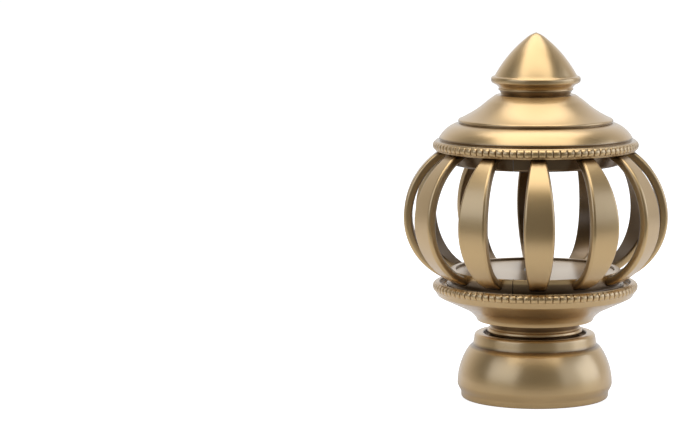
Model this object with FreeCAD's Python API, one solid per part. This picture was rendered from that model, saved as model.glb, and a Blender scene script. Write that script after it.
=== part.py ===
import FreeCAD, Part
import math
import os

os.makedirs("parts", exist_ok=True)

# Curtain pole finial. A hollow foot slips over the end of the pole and carries a beaded dish, an open
# cage of twelve bowed ribs, a domed roof with a second beaded rim, and a pointed tip. The axis is Z,
# the foot stands on Z = 0 and the front faces -Y. All sizes are in millimetres.

# Pole and stud
pole_diameter = 28.0
socket_clearance = 0.5
thread_diameter = 6.0
thread_bevel = 0.6
stud_recess = 2.0
stud_shank_diameter = 5.4
rivet_overhang = 1.0
rivet_height = 0.6
rivet_bevel = 0.4
rivet_dimple_radius = 0.8
rivet_dimple_depth = 0.3

# Foot: a cast cup with a base band, a bulged wall and a raised lip
socket_depth = 12.5
socket_mouth_bevel = 0.5
foot_web = 2.5
foot_band_wall = 4.5
foot_band_height = 1.65
foot_bulge_wall = 5.5
foot_bulge_height = 4.1
foot_bulge_rise = 0.77
foot_shoulder_wall = 2.35
foot_crease_height = 1.7
foot_lip_overhang = 1.2
foot_lip_wall = 2.4
foot_lip_bevel = 0.35
foot_lip_height = 1.85
foot_recess_depth = 1.65

# Saucer: a cast dish on a plain neck, with a spigot that is pressed into the foot
spigot_radius = 8.0
neck_gap = 1.55
neck_height = 4.95
cove_overhang = 3.0
cove_height = 6.15
cove_dip = 1.35
cove_top_inset = 1.85
saucer_edge_inset = 0.7
saucer_fillet_height = 1.45
saucer_lip_height = 0.4
saucer_lip_wall = 1.0
saucer_seat_depth = 1.45
saucer_wall = 2.3
saucer_floor = 1.5

# Beaded rims: a raised band with one bevelled square pearl beside the other
bead_count = 90
bead_height = 2.05
bead_rise = 0.57
bead_bevel = 0.42
rim_ledge = 0.25
rim_root = 0.2

# Rolled rings: strips bent round, with an open butt seam and bevelled edges towards the cage
ring_radius = 21.6
ring_wall = 1.5
ring_edge_bevel = 0.45
lower_ring_height = 4.75
upper_ring_height = 6.1
seam_gap = 0.22
seam_angle = -106.5

# Floor plate of the cage
plate_thickness = 0.8
plate_drop = 0.6
drain_hole_radius = 1.3
drain_hole_offset = 15.0

# Cage: flat ribs between two plain bands
rib_count = 12
rib_thickness = 2.2
rib_width = 7.7
rib_side_radius = 72.0
cage_radius = 33.4
rib_upper_radius = 20.3
rib_lower_radius = 17.1
band_wall = 0.9
lower_band_height = 1.9
upper_band_height = 1.55

# Roof: a cast shell of two tiers above the upper beaded rim
skirt_drop = 2.7
skirt_edge = 0.35
skirt_wall = 0.5
skirt_clearance = 0.25
lower_tier_inset = 1.1
lower_tier_foot = 0.95
lower_tier_height = 3.55
lower_tier_rise = 0.78
lower_tier_reach = 4.85
tier_step = 0.35
tier_neck_height = 0.3
upper_tier_bevel = 0.35
upper_tier_height = 1.3
upper_tier_top_bevel = 0.45
flare_reach = 6.65
flare_height = 3.65
flare_dip = 0.5
crown_reach = 2.65
crown_height = 1.7
crown_edge_reach = 1.1
crown_edge_height = 1.1
roof_wall = 1.9

# Tip: a cast pointed knob with a threaded spigot below
tip_foot_radius = 9.35
tip_foot_height = 0.2
tip_recess_height = 0.95
tip_recess_depth = 0.2
tip_bead_height = 0.55
tip_bead_rise = 0.22
tip_cove_height = 1.1
tip_cove_reach = 1.25
tip_flange_bevel = 0.45
tip_flange_height = 1.5
tip_shoulder_inset = 0.85
tip_shoulder_height = 0.35
tip_cone_height = 10.05
tip_cone_rise = 0.92
tip_point_radius = 1.4
tip_point_height = 0.55
tip_spigot_length = 8.7

# Nut and washer that draw the tip down on the roof
nut_across_flats = 10.0
nut_height = 5.0
nut_bevel = 0.5
nut_bevel_height = 0.3
washer_radius = 6.0
washer_thickness = 1.2

# Levels that follow, from the foot to the cage
foot_seat_z = socket_depth + foot_web
foot_lip_top_z = foot_seat_z + foot_recess_depth
cove_base_z = foot_seat_z + neck_height
saucer_base_z = cove_base_z + cove_height
lower_bead_z = saucer_base_z + saucer_fillet_height
saucer_top_z = lower_bead_z + bead_height + saucer_lip_height
dish_z = saucer_top_z - saucer_seat_depth
lower_band_top_z = dish_z + lower_band_height
plate_top_z = dish_z + lower_ring_height - plate_drop

# Radii that follow, from the pole outwards
thread_radius = thread_diameter / 2
shank_radius = stud_shank_diameter / 2
socket_radius = (pole_diameter + socket_clearance) / 2
foot_lip_radius = socket_radius + foot_lip_overhang
neck_radius = foot_lip_radius - foot_lip_wall - neck_gap
cove_edge_radius = neck_radius + cove_overhang
ring_bore_radius = ring_radius - ring_wall
band_radius = ring_radius + band_wall

# Side of a rib: two arcs that meet at the widest level and pass the outer edges of both bands
rib_upper_centre = cage_radius - rib_upper_radius
rib_lower_centre = cage_radius - rib_lower_radius
equator_z = lower_band_top_z + math.sqrt(rib_lower_radius ** 2 - (band_radius - rib_lower_centre) ** 2)
upper_band_z = equator_z + math.sqrt(rib_upper_radius ** 2 - (band_radius - rib_upper_centre) ** 2)
roof_seat_z = upper_band_z + upper_band_height

# The roof's skirt clears the corners of the ribs, and both beaded rims follow from it
skirt_z = roof_seat_z - skirt_drop
skirt_climb = skirt_z - equator_z
skirt_rib_radius = rib_upper_centre + math.sqrt(rib_upper_radius ** 2 - skirt_climb ** 2)
skirt_rib_half_width = rib_width / 2 - rib_side_radius + math.sqrt(rib_side_radius ** 2 - skirt_climb ** 2)
skirt_bore_radius = math.hypot(skirt_rib_radius, skirt_rib_half_width) + skirt_clearance
rim_body_radius = skirt_bore_radius + skirt_wall
rim_radius = rim_body_radius + rim_ledge

# Levels of the roof
upper_bead_z = skirt_z + skirt_edge
lower_tier_z = roof_seat_z + lower_tier_foot
tier_neck_z = lower_tier_z + lower_tier_height
upper_tier_z = tier_neck_z + tier_neck_height
flare_z = upper_tier_z + upper_tier_height
crown_base_z = flare_z + flare_height
crown_z = crown_base_z + crown_height
crown_underside_z = crown_z - roof_wall


def point(radius, z):
    return FreeCAD.Vector(radius, 0, z)


def outline(corners):
    """Face in the XZ plane inside a closed line of corners. A corner is (radius, z), or
    (radius, z, rise) for an arc from the corner before, whose middle stands rise to the right of the
    straight way, or to the left where rise is negative."""
    edges = []
    last = point(*corners[-1][:2])
    for corner in corners:
        here = point(*corner[:2])
        if len(corner) == 3:
            way = here - last
            right = FreeCAD.Vector(way.z, 0, -way.x).normalize()
            middle = last + way * 0.5 + right * corner[2]
            edges.append(Part.Arc(last, middle, here).toShape())
        else:
            edges.append(Part.makeLine(last, here))
        last = here
    return Part.Face(Part.Wire(edges))


def turned(corners):
    """Solid turned about the Z axis from a closed line of corners."""
    return outline(corners).revolve(FreeCAD.Vector(), FreeCAD.Vector(0, 0, 1), 360)


def around(shape, count):
    """Copies of a shape, evenly spaced about the Z axis."""
    copies = []
    for number in range(count):
        copy = shape.copy()
        copy.rotate(FreeCAD.Vector(), FreeCAD.Vector(0, 0, 1), 360.0 * number / count)
        copies.append(copy)
    return copies


def polygon_face(radius, count, z, turn):
    """Regular polygon with its corners at radius, turned by an angle in radians."""
    corners = []
    for number in range(count + 1):
        angle = 2 * math.pi * number / count + turn
        corners.append(FreeCAD.Vector(radius * math.cos(angle), radius * math.sin(angle), z))
    return Part.Face(Part.makePolygon(corners))


def with_beads(body, z):
    """A body with a beaded rim round it, from z upwards: a many-sided collar and a pearl on each side."""
    half_step = math.pi / bead_count
    half_width = rim_radius * math.tan(half_step)
    rise = FreeCAD.Vector(0, 0, bead_height)
    collar = polygon_face(rim_radius / math.cos(half_step), bead_count, z, half_step).extrude(rise)
    bore = Part.makeCylinder(rim_body_radius - rim_root, bead_height, FreeCAD.Vector(0, 0, z))
    pearl = Part.makeWedge(-half_width, rim_radius, z, z + bead_bevel, bead_bevel - half_width,
                           half_width, rim_radius + bead_rise, z + bead_height,
                           z + bead_height - bead_bevel, half_width - bead_bevel)
    pearl.rotate(FreeCAD.Vector(), FreeCAD.Vector(0, 0, 1), -90)
    return body.multiFuse([collar.cut(bore)] + around(pearl, bead_count))


def make_foot():
    lip_base_z = foot_lip_top_z - foot_lip_height
    return turned([
        (socket_radius + socket_mouth_bevel, 0),
        (socket_radius + foot_band_wall, 0),
        (socket_radius + foot_band_wall, foot_band_height),
        (socket_radius + foot_bulge_wall, foot_bulge_height),
        (socket_radius + foot_shoulder_wall, lip_base_z - foot_crease_height, foot_bulge_rise),
        (foot_lip_radius, lip_base_z),
        (foot_lip_radius, foot_lip_top_z - foot_lip_bevel),
        (foot_lip_radius - foot_lip_bevel, foot_lip_top_z),
        (foot_lip_radius - foot_lip_wall, foot_lip_top_z),
        (foot_lip_radius - foot_lip_wall, foot_seat_z),
        (spigot_radius, foot_seat_z),
        (spigot_radius, socket_depth),
        (socket_radius, socket_depth),
        (socket_radius, socket_mouth_bevel),
    ])


def make_saucer():
    edge_radius = rim_radius - saucer_edge_inset
    lip_inner_radius = rim_body_radius - saucer_lip_wall
    cavity_z = cove_base_z + saucer_floor
    body = turned([
        (shank_radius, socket_depth),
        (spigot_radius, socket_depth),
        (spigot_radius, foot_seat_z),
        (neck_radius, foot_seat_z),
        (neck_radius, cove_base_z),
        (cove_edge_radius, cove_base_z),
        (rim_radius - cove_top_inset, saucer_base_z, -cove_dip),
        (edge_radius, saucer_base_z),
        (rim_body_radius, lower_bead_z),
        (rim_body_radius, saucer_top_z),
        (lip_inner_radius, saucer_top_z),
        (lip_inner_radius, dish_z),
        (ring_bore_radius, dish_z),
        (cove_edge_radius - saucer_wall, cavity_z),
        (shank_radius, cavity_z),
    ])
    return with_beads(body, lower_bead_z)


def make_ring(flat_z, edge_z):
    """Rolled ring from its flat end to its bevelled end, with an open seam."""
    shoulder_z = edge_z + math.copysign(ring_edge_bevel, flat_z - edge_z)
    ring = turned([
        (ring_bore_radius, flat_z),
        (ring_radius, flat_z),
        (ring_radius, shoulder_z),
        (ring_radius - ring_edge_bevel, edge_z),
        (ring_bore_radius + ring_edge_bevel, edge_z),
        (ring_bore_radius, shoulder_z),
    ])
    slot = Part.makeBox(ring_radius, seam_gap, abs(edge_z - flat_z),
                        FreeCAD.Vector(0, -seam_gap / 2, min(flat_z, edge_z)))
    slot.rotate(FreeCAD.Vector(), FreeCAD.Vector(0, 0, 1), seam_angle)
    return ring.cut(slot)


def make_lower_ring():
    return make_ring(dish_z, dish_z + lower_ring_height)


def make_upper_ring():
    return make_ring(roof_seat_z, roof_seat_z - upper_ring_height)


def make_floor_plate():
    base = FreeCAD.Vector(0, 0, plate_top_z - plate_thickness)
    plate = Part.makeCylinder(ring_bore_radius, plate_thickness, base)
    centre_hole = Part.makeCylinder(shank_radius, plate_thickness, base)
    drain_base = base + FreeCAD.Vector(0, drain_hole_offset, 0)
    drain_hole = Part.makeCylinder(drain_hole_radius, plate_thickness, drain_base)
    return plate.cut([centre_hole, drain_hole])


def rib_arc(centre_radius, arc_radius, side):
    """Points of one arc of a rib's side, from the widest level up (side 1) or down (side -1) until it
    is inside the rolled ring."""
    end_radius = ring_radius - rib_thickness / 2
    turn = math.acos((end_radius - centre_radius) / arc_radius)
    points = []
    for angle in (0, turn / 2, turn):
        radius = centre_radius + arc_radius * math.cos(angle)
        points.append(point(radius, equator_z + side * arc_radius * math.sin(angle)))
    return points


def rib_face():
    """Side face of a rib in the XZ plane, with even thickness."""
    upper_out = rib_arc(rib_upper_centre, rib_upper_radius, 1)
    lower_out = rib_arc(rib_lower_centre, rib_lower_radius, -1)
    upper_in = rib_arc(rib_upper_centre, rib_upper_radius - rib_thickness, 1)
    lower_in = rib_arc(rib_lower_centre, rib_lower_radius - rib_thickness, -1)
    return Part.Face(Part.Wire([
        Part.Arc(upper_out[2], upper_out[1], upper_out[0]).toShape(),
        Part.Arc(*lower_out).toShape(),
        Part.makeLine(lower_out[2], lower_in[2]),
        Part.Arc(lower_in[2], lower_in[1], lower_in[0]).toShape(),
        Part.Arc(*upper_in).toShape(),
        Part.makeLine(upper_in[2], upper_out[2]),
    ]))


def make_rib():
    """A bowed flat rib over the X axis, broadest at its widest level, between two long side arcs."""
    half_width = rib_width / 2
    rib = rib_face()
    rib.translate(FreeCAD.Vector(0, -half_width, 0))
    rib = rib.extrude(FreeCAD.Vector(0, rib_width, 0))
    for side in (-1, 1):
        centre = FreeCAD.Vector(0, side * (half_width - rib_side_radius), equator_z)
        rib = rib.common(Part.makeCylinder(rib_side_radius, cage_radius + rib_thickness, centre,
                                           FreeCAD.Vector(1, 0, 0)))
    core = Part.makeCylinder(ring_radius, roof_seat_z - dish_z, FreeCAD.Vector(0, 0, dish_z))
    return rib.cut(core)


def make_cage():
    bands = []
    for base_z, top_z in ((dish_z, lower_band_top_z), (upper_band_z, roof_seat_z)):
        bands.append(turned([
            (ring_radius, base_z),
            (band_radius, base_z),
            (band_radius, top_z),
            (ring_radius, top_z),
        ]))
    return bands[0].multiFuse([bands[1]] + around(make_rib(), rib_count))


def make_roof():
    lower_tier_radius = rim_radius - lower_tier_inset
    upper_tier_radius = lower_tier_radius - lower_tier_reach
    tier_neck_radius = upper_tier_radius - tier_step
    flare_radius = upper_tier_radius - upper_tier_top_bevel - flare_reach
    crown_radius = flare_radius - crown_reach
    body = turned([
        (skirt_bore_radius, skirt_z),
        (rim_body_radius, skirt_z),
        (rim_body_radius, upper_bead_z + bead_height),
        (lower_tier_radius, lower_tier_z),
        (upper_tier_radius, tier_neck_z, lower_tier_rise),
        (tier_neck_radius, tier_neck_z),
        (tier_neck_radius, upper_tier_z),
        (upper_tier_radius, upper_tier_z + upper_tier_bevel),
        (upper_tier_radius, flare_z - upper_tier_top_bevel),
        (upper_tier_radius - upper_tier_top_bevel, flare_z),
        (flare_radius, crown_base_z, -flare_dip),
        (flare_radius - crown_edge_reach, crown_base_z + crown_edge_height),
        (crown_radius, crown_z),
        (thread_radius, crown_z),
        (thread_radius, crown_underside_z),
        (crown_radius, crown_underside_z),
        (tier_neck_radius - roof_wall, tier_neck_z),
        (ring_bore_radius, lower_tier_z),
        (ring_bore_radius, roof_seat_z),
        (band_radius, roof_seat_z),
        (band_radius, upper_band_z + skirt_clearance),
    ])
    return with_beads(body, upper_bead_z)


def make_tip():
    recess_z = crown_z + tip_foot_height
    bead_z = recess_z + tip_recess_height
    cove_z = bead_z + tip_bead_height
    flange_z = cove_z + tip_cove_height
    shoulder_z = flange_z + tip_flange_bevel + tip_flange_height
    cone_z = shoulder_z + tip_shoulder_height
    point_z = cone_z + tip_cone_height
    spigot_end_z = crown_z - tip_spigot_length
    cove_radius = tip_foot_radius + tip_cove_reach
    flange_radius = cove_radius + tip_flange_bevel
    return turned([
        (0, spigot_end_z),
        (thread_radius - thread_bevel, spigot_end_z),
        (thread_radius, spigot_end_z + thread_bevel),
        (thread_radius, crown_z),
        (tip_foot_radius, crown_z),
        (tip_foot_radius, recess_z),
        (tip_foot_radius - tip_recess_depth, recess_z + tip_recess_height / 2),
        (tip_foot_radius, bead_z),
        (tip_foot_radius + tip_bead_rise, bead_z + tip_bead_height / 2),
        (tip_foot_radius, cove_z),
        (cove_radius, flange_z),
        (flange_radius, flange_z + tip_flange_bevel),
        (flange_radius, shoulder_z),
        (flange_radius - tip_shoulder_inset, cone_z),
        (tip_point_radius, point_z, tip_cone_rise),
        (0, point_z + tip_point_height),
    ])


def make_tip_washer():
    return turned([
        (thread_radius, crown_underside_z - washer_thickness),
        (washer_radius, crown_underside_z - washer_thickness),
        (washer_radius, crown_underside_z),
        (thread_radius, crown_underside_z),
    ])


def make_tip_nut():
    """Hexagon nut whose corners are turned off at both ends."""
    top_z = crown_underside_z - washer_thickness
    base_z = top_z - nut_height
    corner_radius = nut_across_flats / math.sqrt(3)
    hexagon = polygon_face(corner_radius, 6, base_z, 0).extrude(FreeCAD.Vector(0, 0, nut_height))
    blank = turned([
        (thread_radius, base_z),
        (corner_radius - nut_bevel, base_z),
        (corner_radius, base_z + nut_bevel_height),
        (corner_radius, top_z - nut_bevel_height),
        (corner_radius - nut_bevel, top_z),
        (thread_radius, top_z),
    ])
    return hexagon.common(blank)


def make_stud():
    """Stud whose shank is riveted over on the floor plate and whose thread ends inside the socket."""
    rivet_radius = shank_radius + rivet_overhang
    rivet_top_z = plate_top_z + rivet_height
    return turned([
        (0, stud_recess),
        (thread_radius - thread_bevel, stud_recess),
        (thread_radius, stud_recess + thread_bevel),
        (thread_radius, socket_depth),
        (shank_radius, socket_depth),
        (shank_radius, plate_top_z),
        (rivet_radius, plate_top_z),
        (rivet_radius - rivet_bevel, rivet_top_z),
        (rivet_dimple_radius, rivet_top_z),
        (0, rivet_top_z - rivet_dimple_depth),
    ])


pieces = {
    "foot": make_foot,
    "saucer": make_saucer,
    "stud": make_stud,
    "lower_ring": make_lower_ring,
    "floor_plate": make_floor_plate,
    "cage": make_cage,
    "upper_ring": make_upper_ring,
    "roof": make_roof,
    "tip_washer": make_tip_washer,
    "tip_nut": make_tip_nut,
    "tip": make_tip,
}
for name, make in pieces.items():
    solid = make()
    solid.exportStep("parts/" + name + ".step")
    print(name, "volume", round(solid.Volume, 1), "mm3")
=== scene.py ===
# %% [markdown]
# # A cage finial in satin brass
# This finial closes the end of a curtain pole. It is an assembly of cast and sheet brass: a hollow
# foot, a beaded saucer on a neck, a cage of twelve bowed ribs between two bands, a stepped roof
# with a second beaded rim, and a pointed tip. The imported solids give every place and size. Here
# each piece gets its soft edges, its pearls and the satin finish that a buyer sees.

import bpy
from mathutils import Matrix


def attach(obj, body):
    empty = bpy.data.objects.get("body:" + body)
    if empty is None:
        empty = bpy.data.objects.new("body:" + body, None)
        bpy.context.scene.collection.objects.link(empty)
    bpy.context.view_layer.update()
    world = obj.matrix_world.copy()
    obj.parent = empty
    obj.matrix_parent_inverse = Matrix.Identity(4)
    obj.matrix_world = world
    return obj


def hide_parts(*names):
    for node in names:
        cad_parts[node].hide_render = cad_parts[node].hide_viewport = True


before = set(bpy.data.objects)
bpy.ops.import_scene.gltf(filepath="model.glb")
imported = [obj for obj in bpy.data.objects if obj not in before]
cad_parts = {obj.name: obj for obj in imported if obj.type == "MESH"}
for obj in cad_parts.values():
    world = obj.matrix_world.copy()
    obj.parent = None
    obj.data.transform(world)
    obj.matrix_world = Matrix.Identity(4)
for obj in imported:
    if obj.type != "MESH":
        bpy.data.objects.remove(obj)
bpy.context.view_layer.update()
print("packed solids:", sorted(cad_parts))

# %% [markdown]
# ## Units and selection
# Blender works in metres here, and brass fittings are measured in millimetres, so one name does
# the conversion. An operator acts on all that is selected, so each step first deselects everything
# and then picks its vertices by their place. Clicking on them would work once, but a place in a
# script still finds them after a size has changed.

# %% Units and selection
import math

import bpy
from mathutils import Vector

MM = 0.001
FULL_TURN = 2 * math.pi
SAME_PLANE = 0.001


def select_only(thing):
    """Object mode, with one object selected and active."""
    if bpy.context.object and bpy.context.object.mode != "OBJECT":
        bpy.ops.object.mode_set(mode="OBJECT")
    bpy.ops.object.select_all(action="DESELECT")
    thing.select_set(True)
    bpy.context.view_layer.objects.active = thing


def edit(thing):
    """Edit mode on one object, with nothing selected in it."""
    select_only(thing)
    bpy.ops.object.mode_set(mode="EDIT")
    bpy.ops.mesh.select_all(action="DESELECT")


def pick(thing, wanted):
    """Selects the vertices whose place in mm is wanted, and no others."""
    edit(thing)
    bpy.ops.object.mode_set(mode="OBJECT")
    for vertex in thing.data.vertices:
        vertex.select = bool(wanted(vertex.co / MM))
    bpy.ops.object.mode_set(mode="EDIT")


print("one millimetre is", MM, "m")

# %% [markdown]
# ## Modifiers, applied at once
# A modifier changes how a mesh looks without touching its vertices. A part that others will reuse
# is better as a plain mesh, so each modifier here is applied as soon as it has its settings.

# %% Apply a modifier
def apply_modifier(thing, kind, **settings):
    """Adds a modifier with its settings and applies it."""
    select_only(thing)
    bpy.ops.object.modifier_add(type=kind)
    modifier = thing.modifiers[-1]
    for setting, value in settings.items():
        setattr(modifier, setting, value)
    bpy.ops.object.modifier_apply(modifier=modifier.name)
    print(thing.name, "has", kind.lower(), "applied")


# %% [markdown]
# ## A bow in an outline
# The wall of the foot, the flare and the dome of the tip are bowed. A curve of many typed points
# could follow them, but one number says it better: how far the middle of the bow stands off the
# straight way. The selected vertex is spun about the centre that this rise gives.

# %% Bow part of an outline
BOW_STEPS = 20


def bow_to(here, there, rise):
    """Spins the selected vertex along an arc. Its middle stands rise to the right of the chord."""
    way = there - here
    right = Vector((way.z, 0, -way.x)).normalized()
    radius = (way.length_squared / 4 + rise * rise) / (2 * abs(rise))
    side = math.copysign(1, rise)
    centre = here + way / 2 - right * side * (radius - abs(rise))
    turn = 2 * math.asin(way.length / 2 / radius)
    bpy.ops.mesh.spin(steps=BOW_STEPS, angle=turn, center=centre * MM, axis=(0, side, 0))
    print("bow of radius", round(radius, 1), "mm")


# %% [markdown]
# ## A half outline, drawn by hand
# Most of the finial is round, so most of its pieces start as half of their section beside the
# axis. A small plane is merged to a single vertex, and that vertex is extruded from corner to
# corner. Last, a vertex bevel rounds each corner: no edge of a cast and polished piece is sharp,
# and on metal it is the soft edge that catches the light.

# %% Draw a half outline
MERGE_DISTANCE = 0.002 * MM
SAME_CORNER = 0.01
ROUND_STEPS = 4


def half_outline(name, corners):
    """Half a section in the XZ plane. A corner is (radius, z, rounding), or (radius, z, rounding,
    rise) where the way to it is bowed, all in mm. The line closes, unless it starts and ends on
    the axis."""
    places = [Vector((corner[0], 0, corner[1])) for corner in corners]
    bpy.ops.object.select_all(action="DESELECT")
    bpy.ops.mesh.primitive_plane_add(size=MM, location=places[0] * MM)
    line = bpy.context.object
    line.name = name
    bpy.ops.object.transform_apply(location=True, rotation=False, scale=False)
    edit(line)
    bpy.ops.mesh.select_all(action="SELECT")
    bpy.ops.mesh.merge(type="CENTER")
    ways = list(zip(places, places[1:], corners[1:]))
    if places[0].x or places[-1].x:
        ways.append((places[-1], places[0], corners[0]))
    for here, there, corner in ways:
        if len(corner) > 3:
            bow_to(here, there, corner[3])
        else:
            step = (there - here) * MM
            bpy.ops.mesh.extrude_region_move(TRANSFORM_OT_translate={"value": step})
    bpy.ops.mesh.select_all(action="SELECT")
    bpy.ops.mesh.remove_doubles(threshold=MERGE_DISTANCE)
    for place, corner in zip(places, corners):
        if corner[2]:
            pick(line, lambda co: (co - place).length < SAME_CORNER)
            bpy.ops.mesh.bevel(offset=corner[2] * MM, segments=ROUND_STEPS, affect="VERTICES")
    bpy.ops.object.mode_set(mode="OBJECT")
    print(name, "outline:", len(line.data.vertices), "points")
    return line


# %% [markdown]
# ## On the lathe
# Spun about the axis, the outline becomes the turned piece. A screw modifier would do the same;
# the spin is one step and leaves a plain mesh. It leaves two rows of vertices on each other where
# it closes, and many in one place at a pole, so doubles are merged, and then the normals are
# turned outwards.

# %% Turn a piece
SPIN_STEPS = 180


def turn_round(line, steps=SPIN_STEPS):
    """Spins an outline once round the axis."""
    edit(line)
    bpy.ops.mesh.select_all(action="SELECT")
    bpy.ops.mesh.spin(steps=steps, angle=FULL_TURN, center=(0, 0, 0), axis=(0, 0, 1))
    bpy.ops.mesh.select_all(action="SELECT")
    bpy.ops.mesh.remove_doubles(threshold=MERGE_DISTANCE)
    bpy.ops.mesh.normals_make_consistent(inside=False)
    bpy.ops.object.mode_set(mode="OBJECT")
    print(line.name, "turned in", steps, "steps")
    return line


# %% [markdown]
# ## Smooth, but not soft
# Polished metal shows every unevenness of its shading. Faces that meet at a small angle are shaded
# as one, and weighted normals keep the broad faces even beside their small rounds. More faces
# would help less and cost more.

# %% Smooth and join
SMOOTH_UP_TO = math.radians(35)


def smooth(piece):
    """Smooth shading except over sharp edges, with the broad faces kept even."""
    select_only(piece)
    bpy.ops.object.shade_smooth_by_angle(angle=SMOOTH_UP_TO)
    apply_modifier(piece, "WEIGHTED_NORMAL", keep_sharp=True)
    print(piece.name, "faces:", len(piece.data.polygons))
    return piece


def join(first, second):
    """Joins the second object into the first."""
    select_only(first)
    second.select_set(True)
    bpy.ops.object.join()
    return first


# %% [markdown]
# ## The foot
# The foot is one casting: a base band, a bulged wall, a crease and a raised lip round the well
# that the neck stands in. Inside it is bored to slip over the end of the pole. A cylinder could be
# pulled into this shape ring by ring, but a half outline keeps every radius and height in plain
# sight.

# %% The foot
FOOT_WELL_FLOOR = 15.0
FOOT_WEB_UNDERSIDE = 12.5
NECK_SPIGOT_RADIUS = 8.0
SOCKET_RADIUS = 14.25
foot_line = half_outline("foot_casting", [
    (14.75, 0.0, 0.15),  # open end, inner edge
    (18.75, 0.0, 0.6),  # open end, outer edge
    (18.8, 1.7, 0.35),  # top of the base band
    (19.7, 3.2, 0.8),  # widest level
    (16.75, 12.95, 0.5, 0.85),  # bulged wall, up to the crease
    (15.8, 13.7, 0.3),  # crease
    (15.65, 14.4, 0.25),  # lip, lower edge
    (15.3, 16.65, 0.8),  # lip, top
    (13.05, 16.65, 0.35),  # edge of the well
    (13.05, FOOT_WELL_FLOOR, 0.3),  # floor of the well
    (NECK_SPIGOT_RADIUS, FOOT_WELL_FLOOR, 0.1),  # hole for the neck's spigot
    (NECK_SPIGOT_RADIUS, FOOT_WEB_UNDERSIDE, 0.1),
    (SOCKET_RADIUS, FOOT_WEB_UNDERSIDE, 0.4),  # end of the pole socket
    (SOCKET_RADIUS, 0.5, 0.1),  # lead-in for the pole
])
foot = smooth(turn_round(foot_line))

# %% [markdown]
# ## Pearls for the rims
# Both rims carry ninety pearls, cast as square cushions with narrow nicks between them. They could
# be painted on with a bump, but then the rim's outline would stay plain. One cushion is a cube at
# its place on the rim, scaled to size. Its outer ends get a large round and its outer sides a
# small one. The spin operator, set to duplicate, then sets its copies round the rim.

# %% A row of pearls
PEARL_COUNT = 90
PEARL_STEP = FULL_TURN / PEARL_COUNT
PEARL_CREST = 26.05
PEARL_DEPTH = 1.3
PEARL_HEIGHT = 2.25
PEARL_WIDTH = 1.66
PEARL_SIDE_ROUND = 0.3
PEARL_SIDE_STEPS = 2
PEARL_END_ROUND = 1.0
PEARL_END_STEPS = 4


def pearl_row(name, base_z):
    """Ninety pearls round a rim whose beaded band starts at base_z, in mm."""
    middle = Vector((PEARL_CREST - PEARL_DEPTH / 2, 0, base_z + PEARL_HEIGHT / 2))
    bpy.ops.object.select_all(action="DESELECT")
    bpy.ops.mesh.primitive_cube_add(size=1, location=middle * MM)
    row = bpy.context.object
    row.name = name
    row.scale = Vector((PEARL_DEPTH, PEARL_WIDTH, PEARL_HEIGHT)) * MM
    bpy.ops.object.transform_apply(location=True, rotation=False, scale=True)
    for end in (base_z, base_z + PEARL_HEIGHT):
        pick(row, lambda co: co.x > PEARL_CREST - SAME_PLANE and abs(co.z - end) < SAME_PLANE)
        bpy.ops.mesh.bevel(offset=PEARL_END_ROUND * MM, segments=PEARL_END_STEPS, affect="EDGES")
    for flank in (-PEARL_WIDTH / 2, PEARL_WIDTH / 2):
        pick(row, lambda co: abs(co.y - flank) < SAME_PLANE and co.x > middle.x)
        bpy.ops.mesh.bevel(offset=PEARL_SIDE_ROUND * MM, segments=PEARL_SIDE_STEPS, affect="EDGES")
    bpy.ops.mesh.select_all(action="SELECT")
    bpy.ops.mesh.spin(steps=PEARL_COUNT - 1, angle=FULL_TURN - PEARL_STEP, dupli=True,
                      center=(0, 0, 0), axis=(0, 0, 1))
    bpy.ops.object.mode_set(mode="OBJECT")
    print(name, "has", PEARL_COUNT, "pearls in", len(row.data.polygons), "faces")
    return row


# %% [markdown]
# ## The saucer
# Dish, cove and neck are one casting. A spigot below the neck is pressed into the foot, and a low
# wall inside the lip centres the cage. The pearls stand on a plain band just below the lip. They
# are made apart and joined to the dish, because a lathe can only make what is the same all round.

# %% The saucer
SHANK_RADIUS = 2.7
RING_BORE = 20.1
SAUCER_SEAT = 28.55
saucer_line = half_outline("saucer_casting", [
    (SHANK_RADIUS, FOOT_WEB_UNDERSIDE, 0.1),  # end of the spigot
    (NECK_SPIGOT_RADIUS, FOOT_WEB_UNDERSIDE, 0.3),
    (NECK_SPIGOT_RADIUS, FOOT_WELL_FLOOR, 0.1),
    (11.5, FOOT_WELL_FLOOR, 0.1),  # neck's foot, in the well
    (11.5, 16.8, 0.2),
    (12.15, 17.05, 0.2),  # bead of the neck
    (11.95, 17.85, 0.3),
    (11.2, 17.9, 0.15),
    (11.85, 19.9, 0.15),  # top of the neck
    (14.75, 19.85, 0.15),  # underside of the cove
    (14.95, 20.5, 0.5),
    (16.3, 22.2, 1.6),  # cove, where the wall turns into the cone
    (23.9, 25.75, 0.2),  # end of the cone
    (24.8, 26.25, 0.2),
    (25.55, 27.55, 0.1),  # plain band behind the pearls
    (25.55, 29.35, 0.1),
    (24.95, 29.5, 0.1),
    (25.0, 29.8, 0.12),  # lip
    (24.25, 29.8, 0.2),
    (24.25, SAUCER_SEAT, 0.3),  # seat of the cage and the ring
    (RING_BORE, SAUCER_SEAT, 0.1),
    (12.2, 21.45, 0.3),  # floor of the dish
    (SHANK_RADIUS, 21.45, 0.1),
])
saucer = turn_round(saucer_line)
saucer = smooth(join(saucer, pearl_row("saucer_pearls", 27.45)))

# %% [markdown]
# ## The roof
# The roof is a cast shell. Its skirt comes down over the tops of the ribs, and above the beaded
# rim it climbs in a bowed tier, a hollow flare and a small crown. Its inside is drawn too, with a
# wall as thick as a casting needs: a solid roof would show from below, through the cage.

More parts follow.
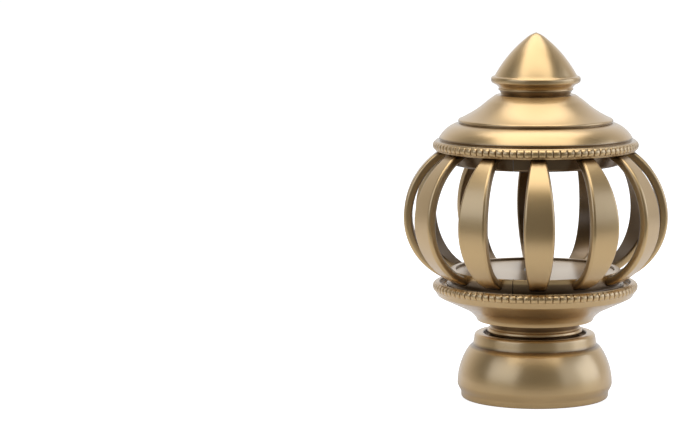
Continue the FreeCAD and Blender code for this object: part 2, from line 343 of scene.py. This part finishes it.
# %% The roof
ROOF_SEAT = 65.93
CROWN_TOP = 77.38
CROWN_UNDERSIDE = 75.48
SPIGOT_RADIUS = 3.0
roof_line = half_outline("roof_casting", [
    (24.75, 63.23, 0.1),  # lower edge of the skirt
    (25.3, 63.23, 0.1),
    (25.55, 63.58, 0.1),  # band of the upper pearls
    (25.55, 65.62, 0.1),
    (25.3, 65.85, 0.1),
    (24.2, 66.02, 0.1),  # groove above the pearls
    (24.5, 66.45, 0.2),  # lower tier, outer edge
    (19.6, 70.28, 0.25, 0.66),  # bowed top of the lower tier
    (19.2, 70.36, 0.05),  # groove under the flare
    (19.2, 70.52, 0.05),
    (19.6, 70.65, 0.1),  # lip of the flare
    (19.6, 71.15, 0.28),
    (12.3, 75.8, 0.4, -0.36),  # hollow flare
    (10.1, 77.4, 0.3),  # edge of the crown
    (9.3, CROWN_TOP, 0.1),
    (SPIGOT_RADIUS, CROWN_TOP, 0.1),  # hole for the tip's spigot
    (SPIGOT_RADIUS, CROWN_UNDERSIDE, 0.1),
    (9.8, CROWN_UNDERSIDE, 0.3),  # inside of the shell
    (17.3, 70.43, 0.3),
    (RING_BORE, 66.88, 0.1),
    (RING_BORE, ROOF_SEAT, 0.1),  # seat of the upper ring
    (22.5, ROOF_SEAT, 0.1),
    (22.5, 64.63, 0.1),  # inside of the skirt
])
roof = turn_round(roof_line)
roof = smooth(join(roof, pearl_row("roof_pearls", 63.45)))

# %% [markdown]
# ## The tip
# The tip is cast and turned: a recess and a small bead above the crown, a cove under the flange,
# and a pointed dome. Its spigot goes down through the roof into the nut. A cone would be too
# straight for the dome, so the way to the point is one long bow.

# %% The tip
tip_line = half_outline("tip_casting", [
    (0.0, 68.68, 0),  # end of the spigot
    (2.4, 68.68, 0),
    (SPIGOT_RADIUS, 69.28, 0),
    (SPIGOT_RADIUS, CROWN_TOP, 0),
    (8.7, CROWN_TOP, 0.05),  # foot of the tip, on the crown
    (9.2, 78.5, 0.1),
    (9.3, 79.08, 0.05, 0.25),  # small bead
    (10.6, 80.18, 0.2, -0.15),  # cove under the flange
    (11.3, 80.6, 0.35),  # flange
    (11.3, 81.95, 0.45),
    (10.45, 82.1, 0.1),  # foot of the dome
    (1.4, 92.52, 0.6, 0.78),  # bowed dome
    (0.0, 93.07, 0),  # point
])
tip = smooth(turn_round(tip_line))

# %% [markdown]
# ## The rolled rings
# Two strips of sheet brass are rolled into rings whose ends meet in an open seam. A full turn
# would have no ends, so the outline is filled as a face and spun a little short of a full turn:
# both ends stay closed and the seam stays open.

# %% The rolled rings
RING_RADIUS = 21.6
SEAM_GAP = 0.22
SEAM_ANGLE = math.radians(-106.5)
SEAM_TURN = SEAM_GAP / RING_RADIUS


def rolled_ring(name, flat_z, edge_z, edge_round):
    """Ring from its plain edge to the rounded edge that shows in the cage, with an open seam."""
    line = half_outline(name, [
        (RING_BORE, flat_z, 0.1),
        (RING_RADIUS, flat_z, 0.1),
        (RING_RADIUS, edge_z, edge_round),
        (RING_BORE, edge_z, edge_round),
    ])
    edit(line)
    bpy.ops.mesh.select_all(action="SELECT")
    bpy.ops.mesh.edge_face_add()
    bpy.ops.transform.rotate(value=-(SEAM_ANGLE + SEAM_TURN / 2), orient_axis="Z",
                             center_override=(0, 0, 0))
    bpy.ops.mesh.spin(steps=SPIN_STEPS, angle=FULL_TURN - SEAM_TURN, center=(0, 0, 0),
                      axis=(0, 0, -1))
    bpy.ops.mesh.select_all(action="SELECT")
    bpy.ops.mesh.normals_make_consistent(inside=False)
    bpy.ops.object.mode_set(mode="OBJECT")
    return smooth(line)


lower_ring = rolled_ring("lower_rolled_ring", SAUCER_SEAT, 33.0, 0.2)
upper_ring = rolled_ring("upper_rolled_ring", ROOF_SEAT, 59.83, 0.6)

# %% [markdown]
# ## The floor plate
# A thin disc closes the bottom of the cage. The small hole near its back lets the lacquer drain.
# It is off the axis, so the lathe can't make it: a boolean modifier cuts it, with a cylinder as
# the drill.

# %% The floor plate
PLATE_UNDERSIDE = 31.9
PLATE_TOP = 32.5
DRAIN_RADIUS = 1.3
DRAIN_OFFSET = 15.0
DRILL_DEPTH = 4
DRILL_SIDES = 48
floor_plate = turn_round(half_outline("floor_disc", [
    (SHANK_RADIUS, PLATE_UNDERSIDE, 0.1),
    (RING_BORE, PLATE_UNDERSIDE, 0.1),
    (RING_BORE, PLATE_TOP, 0.2),
    (SHANK_RADIUS, PLATE_TOP, 0.1),
]))
bpy.ops.object.select_all(action="DESELECT")
bpy.ops.mesh.primitive_cylinder_add(vertices=DRILL_SIDES, radius=DRAIN_RADIUS * MM,
                                    depth=DRILL_DEPTH * MM,
                                    location=(0, DRAIN_OFFSET * MM, PLATE_TOP * MM))
drill = bpy.context.object
apply_modifier(floor_plate, "BOOLEAN", object=drill, operation="DIFFERENCE")
bpy.data.objects.remove(drill)
floor_plate = smooth(floor_plate)

# %% [markdown]
# ## One rib
# A rib is a flat strip that bows out between the bands. Seen from the side it follows two arcs
# that meet at its widest level. A bend modifier could bow a straight strip along one arc, but here
# two arcs meet. So the strip's cross-section is a small plane with rounded corners, spun up along
# one arc and down along the other.

# %% The rib's section
CAGE_RADIUS = 33.4
EQUATOR = 46.386
RIB_THICKNESS = 2.2
RIB_WIDTH = 7.7
RIB_OUTER_ROUND = 0.8
RIB_OUTER_STEPS = 4
RIB_INNER_ROUND = 0.5
RIB_INNER_STEPS = 3
RIB_MIDDLE = CAGE_RADIUS - RIB_THICKNESS / 2
RIB_INSIDE = RIB_MIDDLE - RIB_THICKNESS / 2

bpy.ops.object.select_all(action="DESELECT")
bpy.ops.mesh.primitive_plane_add(size=1, location=Vector((RIB_MIDDLE, 0, EQUATOR)) * MM)
ribs = bpy.context.object
ribs.name = "cage_ribs"
ribs.scale = Vector((RIB_THICKNESS, RIB_WIDTH, 1)) * MM
bpy.ops.object.transform_apply(location=True, rotation=False, scale=True)
pick(ribs, lambda co: co.x > RIB_MIDDLE)
bpy.ops.mesh.bevel(offset=RIB_OUTER_ROUND * MM, segments=RIB_OUTER_STEPS, affect="VERTICES")
pick(ribs, lambda co: co.x < RIB_INSIDE + SAME_PLANE)
bpy.ops.mesh.bevel(offset=RIB_INNER_ROUND * MM, segments=RIB_INNER_STEPS, affect="VERTICES")
print("section of a rib:", RIB_WIDTH, "x", RIB_THICKNESS, "mm")

# %% [markdown]
# ## The rib's two arcs
# The section is spun twice from the widest level. It goes on until the strip is well inside the
# rolled ring, so that its end can be cut to the ring's round later.

# %% Bow the rib
RIB_UPPER_RADIUS = 20.3
RIB_LOWER_RADIUS = 17.1
RIB_END_INSIDE = 0.6
RIB_STEPS = 36


def bow_strip(strip, arc_radius, side):
    """Spins the strip's section along one arc, until the strip is well inside the rolled ring."""
    centre = CAGE_RADIUS - arc_radius
    turn = math.acos((RING_RADIUS - RIB_END_INSIDE - centre) / arc_radius)
    pick(strip, lambda co: abs(co.z - EQUATOR) < SAME_PLANE)
    bpy.ops.mesh.spin(steps=RIB_STEPS, angle=turn, center=Vector((centre, 0, EQUATOR)) * MM,
                      axis=(0, side, 0))
    print("arc of", round(math.degrees(turn), 1), "degrees")


bow_strip(ribs, RIB_UPPER_RADIUS, 1)
bow_strip(ribs, RIB_LOWER_RADIUS, -1)

# %% [markdown]
# ## The rib's width
# Seen from the front, a rib is a long lens: its sides are shallow arcs. Scaling rows of vertices
# by eye could narrow it, but the arc gives the width at each height. Each row across the strip is
# picked by its angle, and its two sides are moved in.

# %% Narrow the rib
RIB_SIDE_RADIUS = 72.0
ROW_DIGITS = 4
SAME_ROW = 0.001


def row_angle(co):
    """Angle of a place on the rib, in its own arc, from the widest level."""
    climb = co.z - EQUATOR
    centre = CAGE_RADIUS - (RIB_UPPER_RADIUS if climb > 0 else RIB_LOWER_RADIUS)
    return math.atan2(climb, co.x - centre)


bpy.ops.object.mode_set(mode="OBJECT")
row_angles = sorted({round(row_angle(vertex.co / MM), ROW_DIGITS) for vertex in ribs.data.vertices})
for angle in row_angles:
    arc_radius = (RIB_UPPER_RADIUS if angle > 0 else RIB_LOWER_RADIUS) - RIB_THICKNESS / 2
    climb = arc_radius * math.sin(angle)
    narrowing = RIB_SIDE_RADIUS - math.sqrt(RIB_SIDE_RADIUS ** 2 - climb ** 2)
    for side in (-1, 1):
        pick(ribs, lambda co: abs(row_angle(co) - angle) < SAME_ROW and co.y * side > 0)
        bpy.ops.transform.translate(value=(0, -side * narrowing * MM, 0))
print("rib narrowed in", len(row_angles), "rows")

# %% [markdown]
# ## The rib's ends
# A rib is soldered to the outside of the rolled ring, so its end has the ring's round. Both ends
# are closed with a face, and a boolean with a cylinder of the ring's radius cuts them.

# %% Close and cut the rib's ends
CORE_LENGTH = 60
edit(ribs)
bpy.ops.mesh.select_all(action="SELECT")
bpy.ops.mesh.remove_doubles(threshold=MERGE_DISTANCE)
for end in (row_angles[0], row_angles[-1]):
    pick(ribs, lambda co: abs(row_angle(co) - end) < SAME_ROW)
    bpy.ops.mesh.edge_face_add()
bpy.ops.mesh.select_all(action="SELECT")
bpy.ops.mesh.normals_make_consistent(inside=False)
bpy.ops.object.mode_set(mode="OBJECT")
bpy.ops.object.select_all(action="DESELECT")
bpy.ops.mesh.primitive_cylinder_add(vertices=SPIN_STEPS, radius=RING_RADIUS * MM,
                                    depth=CORE_LENGTH * MM, location=(0, 0, EQUATOR * MM))
core = bpy.context.object
apply_modifier(ribs, "BOOLEAN", object=core, operation="DIFFERENCE")
bpy.data.objects.remove(core)
print("one rib:", len(ribs.data.polygons), "faces")

# %% [markdown]
# ## Twelve ribs and two bands
# The rib is copied round the cage by the spin operator. The ribs are soldered to two plain bands,
# which are turned like the other pieces. They come to the bench as one cage, so they are one
# object.

# %% The cage
RIB_COUNT = 12
BAND_RADIUS = 22.5
BANDS = (("lower_band", SAUCER_SEAT, 29.4), ("upper_band", 64.38, ROOF_SEAT))
edit(ribs)
bpy.ops.mesh.select_all(action="SELECT")
bpy.ops.mesh.spin(steps=RIB_COUNT - 1, angle=FULL_TURN - FULL_TURN / RIB_COUNT, dupli=True,
                  center=(0, 0, 0), axis=(0, 0, 1))
bpy.ops.object.mode_set(mode="OBJECT")
cage = ribs
for name, low, high in BANDS:
    band = turn_round(half_outline(name, [
        (RING_RADIUS, low, 0),
        (BAND_RADIUS, low, 0.15),
        (BAND_RADIUS, high, 0.15),
        (RING_RADIUS, high, 0),
    ]))
    cage = join(cage, band)
cage.name = "cage_ribs_and_bands"
cage = smooth(cage)

# %% [markdown]
# ## The stud
# The stud holds saucer, cage and foot together. Above, its shank is riveted over on the floor
# plate, and the punch has left a dimple. Below, it carries the thread for the pole. A bump could
# fake the thread, but its outline shows in the socket, so it is a ridge: one small triangle that a
# screw modifier winds up the core.

# %% The stud
STUD_STEPS = 64
THREAD_PITCH = 1.0
THREAD_TURNS = 9
THREAD_STEPS = 36 * THREAD_TURNS
stud = turn_round(half_outline("stud_rod", [
    (0.0, 2.0, 0),  # end of the stud
    (2.3, 2.0, 0.1),
    (2.5, 2.4, 0),  # core of the thread
    (2.5, FOOT_WEB_UNDERSIDE, 0),
    (SHANK_RADIUS, FOOT_WEB_UNDERSIDE, 0),  # shank
    (SHANK_RADIUS, PLATE_TOP, 0),
    (2.85, PLATE_TOP, 0.05),  # riveted head
    (2.7, 32.9, 0.15),
    (2.2, 33.2, 0.2),
    (0.8, 33.2, 0.15),
    (0.0, 32.95, 0),  # dimple of the punch
]), steps=STUD_STEPS)
thread = half_outline("stud_thread", [
    (2.45, 2.3, 0),
    (3.0, 2.65, 0.06),
    (2.45, 3.0, 0),
])
apply_modifier(thread, "SCREW", angle=THREAD_TURNS * FULL_TURN,
               screw_offset=THREAD_TURNS * THREAD_PITCH * MM,
               steps=THREAD_STEPS, render_steps=THREAD_STEPS)
edit(thread)
bpy.ops.mesh.select_non_manifold()
bpy.ops.mesh.edge_face_add()
bpy.ops.mesh.select_all(action="SELECT")
bpy.ops.mesh.normals_make_consistent(inside=False)
bpy.ops.object.mode_set(mode="OBJECT")
stud = smooth(join(stud, thread))

# %% [markdown]
# ## Where shade is painted
# The inside of the cage and the bottom of each groove lie in shade, and a dark brown is painted
# there as that shade. It could be painted on by hand, but two masks find it on every piece. The
# first finds the faces that look towards the axis: it compares the way out from the axis with the
# way that the face looks.

# %% A mask for the faces that look inwards
def add_node(tree, kind, **inputs):
    """A shader node with some of its inputs set."""
    node = tree.nodes.new(kind)
    for name, value in inputs.items():
        node.inputs[name.replace("_", " ")].default_value = value
    return node


# Painted shade goes on the faces that look towards the axis, inside the cage.
def inward_shade_mask(tree, place, starts, full):
    """Mask that rises from 0 to 1 between two values of how far a face looks outwards."""
    level = add_node(tree, "ShaderNodeVectorMath")
    level.operation = "MULTIPLY"
    level.inputs[1].default_value = (1, 1, 0)
    outward = add_node(tree, "ShaderNodeVectorMath")
    outward.operation = "NORMALIZE"
    surface = add_node(tree, "ShaderNodeNewGeometry")
    looks = add_node(tree, "ShaderNodeVectorMath")
    looks.operation = "DOT_PRODUCT"
    mask = add_node(tree, "ShaderNodeMapRange", From_Min=starts, From_Max=full)
    tree.links.new(place.outputs["Object"], level.inputs[0])
    tree.links.new(level.outputs[0], outward.inputs[0])
    tree.links.new(outward.outputs[0], looks.inputs[0])
    tree.links.new(surface.outputs["Normal"], looks.inputs[1])
    tree.links.new(looks.outputs["Value"], mask.inputs["Value"])
    return mask.outputs["Result"]


print("inward mask is ready")

# %% [markdown]
# ## The bottoms of the grooves
# The second mask goes by height alone and marks where shade is painted. On a turned piece a groove
# is the same all round, so a colour ramp up the height of the finial can mark it: white between the
# two heights of the groove, black elsewhere, with a short fade.

# %% A mask for the grooves
RAMP_HEIGHT = 100.0
GROOVE_FADE = 0.25


# Painted shade goes in the bottoms of the grooves, found by their heights.
def groove_shade_mask(tree, place, grooves):
    """Mask that is 1 between the two heights of each groove, in mm."""
    height = add_node(tree, "ShaderNodeSeparateXYZ")
    tree.links.new(place.outputs["Object"], height.inputs["Vector"])
    share = add_node(tree, "ShaderNodeMath")
    share.operation = "DIVIDE"
    share.inputs[1].default_value = RAMP_HEIGHT * MM
    tree.links.new(height.outputs["Z"], share.inputs[0])
    ramp = add_node(tree, "ShaderNodeValToRGB")
    stops = ramp.color_ramp.elements
    stops[1].color = (0, 0, 0, 1)
    for low, high in grooves:
        fade_stops = ((low - GROOVE_FADE, 0), (low, 1), (high, 1), (high + GROOVE_FADE, 0))
        for level, white in fade_stops:
            stops.new(level / RAMP_HEIGHT).color = (white, white, white, 1)
    tree.links.new(share.outputs[0], ramp.inputs["Fac"])
    return ramp.outputs["Color"]


print("a groove fades over", GROOVE_FADE, "mm")

# %% [markdown]
# ## The colour of the brass
# Lacquered brass isn't one colour: it is a little lighter and darker in broad soft patches. A
# noise blends two brasses, and the two masks then lay a painted shade of dark brown over them.

# %% Brass and its skin
BRASS = (0.70, 0.478, 0.218, 1)
BRASS_DEEP = (0.61, 0.405, 0.175, 1)
# Painted shade: a dark brown laid where the finial lies in shade, not a colour of the brass.
PAINTED_SHADE_BROWN = (0.19, 0.115, 0.045, 1)


def brass_with_painted_shade(tree, place, patches, grooves, shade_starts, shade_full):
    """Brass in soft patches, with painted shade in its grooves and on what looks to the axis."""
    colour = add_node(tree, "ShaderNodeMix")
    colour.data_type = "RGBA"
    colour.inputs[6].default_value = BRASS_DEEP
    colour.inputs[7].default_value = BRASS
    tree.links.new(patches.outputs["Fac"], colour.inputs[0])
    painted_shade = add_node(tree, "ShaderNodeMath")
    painted_shade.operation = "MAXIMUM"
    tree.links.new(inward_shade_mask(tree, place, shade_starts, shade_full), painted_shade.inputs[0])
    tree.links.new(groove_shade_mask(tree, place, grooves), painted_shade.inputs[1])
    shade_painted = add_node(tree, "ShaderNodeMix")
    shade_painted.data_type = "RGBA"
    shade_painted.inputs[7].default_value = PAINTED_SHADE_BROWN
    tree.links.new(painted_shade.outputs[0], shade_painted.inputs[0])
    tree.links.new(colour.outputs[2], shade_painted.inputs[6])
    return shade_painted.outputs[2]


print("brass is", BRASS[:3], "and its skin", PAINTED_SHADE_BROWN[:3])

# %% [markdown]
# ## Satin brass
# Cast brass that is brushed and lacquered has a soft, even gloss. The roughness wanders slightly
# with the patches, and a stretched noise gives a very fine bump, as the brush leaves. The clear
# lacquer is a thin coat with its own gloss. Plain metal with one roughness would look like gold
# paint.

# %% Satin brass
GLOSS_SMOOTHEST = 0.29
GLOSS_ROUGHEST = 0.37
LACQUER_ROUGHNESS = 0.25
BRUSHED = 0.45
BRUSH_TURN = 0.25
PATCH_SCALE = 90.0
BRUSH_DEPTH = 0.02 * MM
BRUSH_STRENGTH = 0.12


def satin_brass(name, lines_along, grooves, shade_starts=-0.15, shade_full=-0.45):
    """Lacquered satin brass, brushed round the axis or up the piece, with shade painted in its
    hollows.
    """
    material = bpy.data.materials.new(name)
    material.use_nodes = True
    tree = material.node_tree
    shader = tree.nodes["Principled BSDF"]
    shader.inputs["Metallic"].default_value = 1.0
    shader.inputs["Coat Weight"].default_value = 1.0
    shader.inputs["Coat Roughness"].default_value = LACQUER_ROUGHNESS
    shader.inputs["Anisotropic"].default_value = BRUSHED
    shader.inputs["Anisotropic Rotation"].default_value = BRUSH_TURN
    place = add_node(tree, "ShaderNodeTexCoord")
    patches = add_node(tree, "ShaderNodeTexNoise", Scale=PATCH_SCALE, Detail=3.0)
    tree.links.new(place.outputs["Object"], patches.inputs["Vector"])
    colour = brass_with_painted_shade(tree, place, patches, grooves, shade_starts, shade_full)
    tree.links.new(colour, shader.inputs["Base Color"])
    gloss = add_node(tree, "ShaderNodeMapRange", To_Min=GLOSS_SMOOTHEST, To_Max=GLOSS_ROUGHEST)
    tree.links.new(patches.outputs["Fac"], gloss.inputs["Value"])
    tree.links.new(gloss.outputs["Result"], shader.inputs["Roughness"])
    stretch = add_node(tree, "ShaderNodeMapping")
    stretch.inputs["Scale"].default_value = lines_along
    lines = add_node(tree, "ShaderNodeTexNoise", Scale=1.0, Detail=2.0)
    tree.links.new(place.outputs["Object"], stretch.inputs["Vector"])
    tree.links.new(stretch.outputs["Vector"], lines.inputs["Vector"])
    relief = add_node(tree, "ShaderNodeBump", Strength=BRUSH_STRENGTH, Distance=BRUSH_DEPTH)
    tree.links.new(lines.outputs["Fac"], relief.inputs["Height"])
    tree.links.new(relief.outputs["Normal"], shader.inputs["Normal"])
    print(name, "with", len(grooves), "browned grooves")
    return material


# %% [markdown]
# ## Brass for each piece
# The turned pieces are brushed on the lathe, so their lines lie round the axis; the ribs are
# brushed along their length. Each piece names the heights of its own grooves, where shade is
# painted. One brass for all would paint shade on the lip of the foot, which is level with the
# groove of the neck.

# %% Brass for each piece
LATHE_LINES = (200, 200, 9000)
RIB_LINES = (6000, 6000, 200)
# Each list gives the heights that get painted shade; the ribs get it on their sides and inner faces
# too.
foot_brass = satin_brass("satin_brass_foot", LATHE_LINES, [(13.35, 13.9)])
saucer_brass = satin_brass("satin_brass_saucer", LATHE_LINES, [(14.0, 16.7), (18.2, 19.6)])
roof_brass = satin_brass("satin_brass_roof", LATHE_LINES, [(66.1, 66.4), (70.4, 70.5)])
tip_brass = satin_brass("satin_brass_tip", LATHE_LINES, [(77.4, 78.5)])
ring_brass = satin_brass("satin_brass_rings", LATHE_LINES, [(28.5, 31.6), (59.5, 66.0)])
plate_brass = satin_brass("satin_brass_plate", LATHE_LINES, [])
rib_brass = satin_brass("satin_brass_ribs", RIB_LINES, [(28.0, 30.6), (62.3, 66.0)],
                        shade_starts=0.3, shade_full=-0.6)

# %% [markdown]
# ## Zinc-plated steel
# The stud, the nut and the washer are plated steel, greyer and a little duller than the brass. A
# fine noise gives the mottle of the plating, in its colour and its gloss. Plain grey would look
# like plastic.

# %% Zinc-plated steel
ZINC_DARK = (0.42, 0.42, 0.43, 1)
ZINC_LIGHT = (0.60, 0.60, 0.58, 1)
MOTTLE_SCALE = 900.0
ZINC_SMOOTHEST = 0.25
ZINC_ROUGHEST = 0.45


def zinc_steel():
    """Steel with a thin bright zinc plate."""
    material = bpy.data.materials.new("zinc_plated_steel")
    material.use_nodes = True
    tree = material.node_tree
    shader = tree.nodes["Principled BSDF"]
    shader.inputs["Metallic"].default_value = 1.0
    place = add_node(tree, "ShaderNodeTexCoord")
    mottle = add_node(tree, "ShaderNodeTexNoise", Scale=MOTTLE_SCALE, Detail=4.0)
    tree.links.new(place.outputs["Object"], mottle.inputs["Vector"])
    colour = add_node(tree, "ShaderNodeMix")
    colour.data_type = "RGBA"
    colour.inputs[6].default_value = ZINC_DARK
    colour.inputs[7].default_value = ZINC_LIGHT
    tree.links.new(mottle.outputs["Fac"], colour.inputs[0])
    tree.links.new(colour.outputs[2], shader.inputs["Base Color"])
    gloss = add_node(tree, "ShaderNodeMapRange", To_Min=ZINC_SMOOTHEST, To_Max=ZINC_ROUGHEST)
    tree.links.new(mottle.outputs["Fac"], gloss.inputs["Value"])
    tree.links.new(gloss.outputs["Result"], shader.inputs["Roughness"])
    return material


steel = zinc_steel()
print("steel is", steel.name)

# %% [markdown]
# ## Dressing the frame
# Each finished piece takes the place of its solid and rides on the one body of this part. The nut
# and the washer are already right as solids, hidden under the roof, so they only get the finish.

# %% Dress the frame
def dress(piece, node, material):
    """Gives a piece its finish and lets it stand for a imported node."""
    piece.data.materials.clear()
    piece.data.materials.append(material)
    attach(piece, "root")
    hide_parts(node)
    print(piece.name, "stands for", node)


dress(foot, "foot", foot_brass)
dress(saucer, "saucer", saucer_brass)
dress(lower_ring, "lower_ring", ring_brass)
dress(floor_plate, "floor_plate", plate_brass)
dress(cage, "cage", rib_brass)
dress(upper_ring, "upper_ring", ring_brass)
dress(roof, "roof", roof_brass)
dress(tip, "tip", tip_brass)
dress(stud, "stud", steel)
for node in ("tip_nut", "tip_washer"):
    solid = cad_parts[node]
    solid.data.materials.clear()
    solid.data.materials.append(steel)

# %% [markdown]
# ## The floor
# The finial stands on a pale floor before a white ground. The floor keeps the shadow of the foot.
# More light would whiten it and bleach the brass too, so it glows a little instead, mostly for the
# camera and hardly for the metal that mirrors it.

# %% The floor's plane
FLOOR_SIZE = 8.0
FLOOR_FRONT_EDGE = -0.125
bpy.ops.object.select_all(action="DESELECT")
bpy.ops.mesh.primitive_plane_add(size=FLOOR_SIZE,
                                 location=(0, FLOOR_SIZE / 2 + FLOOR_FRONT_EDGE, 0))
ground = bpy.context.object
ground.name = "floor"
print("floor:", FLOOR_SIZE, "m wide")

# %% [markdown]
# ## The floor's finish
# Matt and pale grey. The Light Path node tells what kind of ray has met the floor, so the glow can
# be strong for one kind and weak for another.

# %% The floor's finish
FLOOR_GREY = (0.7, 0.7, 0.7, 1)
FLOOR_ROUGHNESS = 0.9
FLOOR_LIFT = 0.82
FLOOR_MIRRORED = 0.10
ground_finish = bpy.data.materials.new("floor_white")
ground_finish.use_nodes = True
ground_tree = ground_finish.node_tree
ground_shader = ground_tree.nodes["Principled BSDF"]
ground_shader.inputs["Base Color"].default_value = FLOOR_GREY
ground_shader.inputs["Roughness"].default_value = FLOOR_ROUGHNESS
ground_shader.inputs["Specular IOR Level"].default_value = 0.0
ground_shader.inputs["Emission Color"].default_value = (1, 1, 1, 1)
seen = add_node(ground_tree, "ShaderNodeLightPath")
mirrored = add_node(ground_tree, "ShaderNodeMath")
mirrored.operation = "MAXIMUM"
ground_tree.links.new(seen.outputs["Is Glossy Ray"], mirrored.inputs[0])
ground_tree.links.new(seen.outputs["Is Transmission Ray"], mirrored.inputs[1])
mirrored_lift = add_node(ground_tree, "ShaderNodeMath")
mirrored_lift.operation = "MULTIPLY"
mirrored_lift.inputs[1].default_value = FLOOR_MIRRORED
ground_tree.links.new(mirrored.outputs[0], mirrored_lift.inputs[0])
lift = add_node(ground_tree, "ShaderNodeMath")
lift.operation = "MULTIPLY_ADD"
lift.inputs[1].default_value = FLOOR_LIFT
ground_tree.links.new(seen.outputs["Is Camera Ray"], lift.inputs[0])
ground_tree.links.new(mirrored_lift.outputs[0], lift.inputs[2])
ground_tree.links.new(lift.outputs[0], ground_shader.inputs["Emission Strength"])
ground.data.materials.append(ground_finish)
print("floor glows", FLOOR_LIFT, "for the camera and", FLOOR_MIRRORED, "in the metal")

# %% [markdown]
# ## The studio round it
# The world is the room that the metal mirrors: dim behind the camera and bright behind the finial,
# with a smooth change between. An even white room would leave the brass flat. Only the camera
# itself sees plain white, so the ground is white and no more light falls on the brass.

# %% World
STUDIO_FRONT = 0.17
STUDIO_BACK = 0.8
world = bpy.data.worlds.new("studio")
bpy.context.scene.world = world
world.use_nodes = True
world_tree = world.node_tree
background = world_tree.nodes["Background"]
background.inputs["Color"].default_value = (1, 1, 1, 1)
direction = add_node(world_tree, "ShaderNodeTexCoord")
parts = add_node(world_tree, "ShaderNodeSeparateXYZ")
world_tree.links.new(direction.outputs["Generated"], parts.inputs["Vector"])
studio = add_node(world_tree, "ShaderNodeMapRange", From_Min=0.0, From_Max=1.0,
                  To_Min=STUDIO_FRONT, To_Max=STUDIO_BACK)
studio.interpolation_type = "SMOOTHSTEP"
world_tree.links.new(parts.outputs["Y"], studio.inputs["Value"])
world_path = add_node(world_tree, "ShaderNodeLightPath")
ambient = add_node(world_tree, "ShaderNodeMath")
ambient.operation = "MAXIMUM"
world_tree.links.new(world_path.outputs["Is Camera Ray"], ambient.inputs[0])
world_tree.links.new(studio.outputs["Result"], ambient.inputs[1])
world_tree.links.new(ambient.outputs[0], background.inputs["Strength"])
print("studio from", STUDIO_FRONT, "to", STUDIO_BACK)

# %% [markdown]
# ## Lamps
# Five soft rectangles light the finial, with a dark gap round the camera: bright and dark shapes
# to mirror are what make brass look like metal. The pair above, wide in front and narrower behind,
# gives the tip, the roof and the tops of the ribs their glow. The ones at the sides draw tall soft
# lights on the foot and the cage, and are a little cool, which takes some yellow out of the brass
# there. An area lamp of a given brightness needs power in proportion to its size, so the helper
# works it out.

# %% Lamps
COOL = (0.81, 0.98, 1.4)
LAMP_AIM = Vector((0, 0, 0.045))


def softbox(name, place, size, brightness, tint=(1, 1, 1)):
    """Rectangular lamp, in metres, that looks at the middle of the finial. Its brightness is what
    the metal sees."""
    lamp_data = bpy.data.lights.new(name, "AREA")
    lamp_data.shape = "RECTANGLE"
    lamp_data.size, lamp_data.size_y = size
    lamp_data.energy = brightness * math.pi * size[0] * size[1]
    lamp_data.color = tint
    lamp = bpy.data.objects.new(name, lamp_data)
    bpy.context.scene.collection.objects.link(lamp)
    lamp.location = place
    lamp.rotation_euler = (LAMP_AIM - Vector(place)).to_track_quat("-Z", "Y").to_euler()
    print(name, "power", round(lamp_data.energy, 2), "W")


softbox("lamp_above_front", (-0.01, -0.295, 0.85), (1.15, 0.49), 1.85)
softbox("lamp_above_back", (-0.01, 0.2, 0.85), (0.86, 0.5), 1.95)
softbox("lamp_left", (-0.72, -0.515, 0.46), (0.84, 0.62), 0.85, COOL)
softbox("lamp_right", (0.97, 0.05, 0.34), (0.7, 0.6), 1.25, COOL)
softbox("lamp_fill", (0.80, -0.52, 0.42), (0.6, 0.7), 0.55, COOL)

# %% [markdown]
# ## Camera
# The finial stands right of the middle of the picture and is seen slightly from above. A near
# camera with a short lens would bulge the cage; a long lens at about 0.73 m keeps the foot as wide
# as it is for the eye. The view transform is Standard, so a colour in the materials is the colour
# in the picture.

# %% Camera
CAMERA_PLACE = Vector((-22.62, -732.9, 134.88))
CAMERA_YAW = 1.89
CAMERA_PITCH = 7.0
CAMERA_ROLL = 0.2
SENSOR_WIDTH = 36.0
PICTURE_WIDTH = 700
FOCAL_LENGTH_PIXELS = 2900
camera_data = bpy.data.cameras.new("camera")
camera_data.sensor_width = SENSOR_WIDTH
camera_data.lens = FOCAL_LENGTH_PIXELS * SENSOR_WIDTH / PICTURE_WIDTH
camera = bpy.data.objects.new("camera", camera_data)
bpy.context.scene.collection.objects.link(camera)
camera.location = CAMERA_PLACE * MM
camera.rotation_euler = (math.radians(90 - CAMERA_PITCH), math.radians(CAMERA_ROLL),
                         math.radians(CAMERA_YAW))
bpy.context.scene.camera = camera
bpy.context.scene.view_settings.view_transform = "Standard"
print("lens of", round(camera_data.lens, 1), "mm")
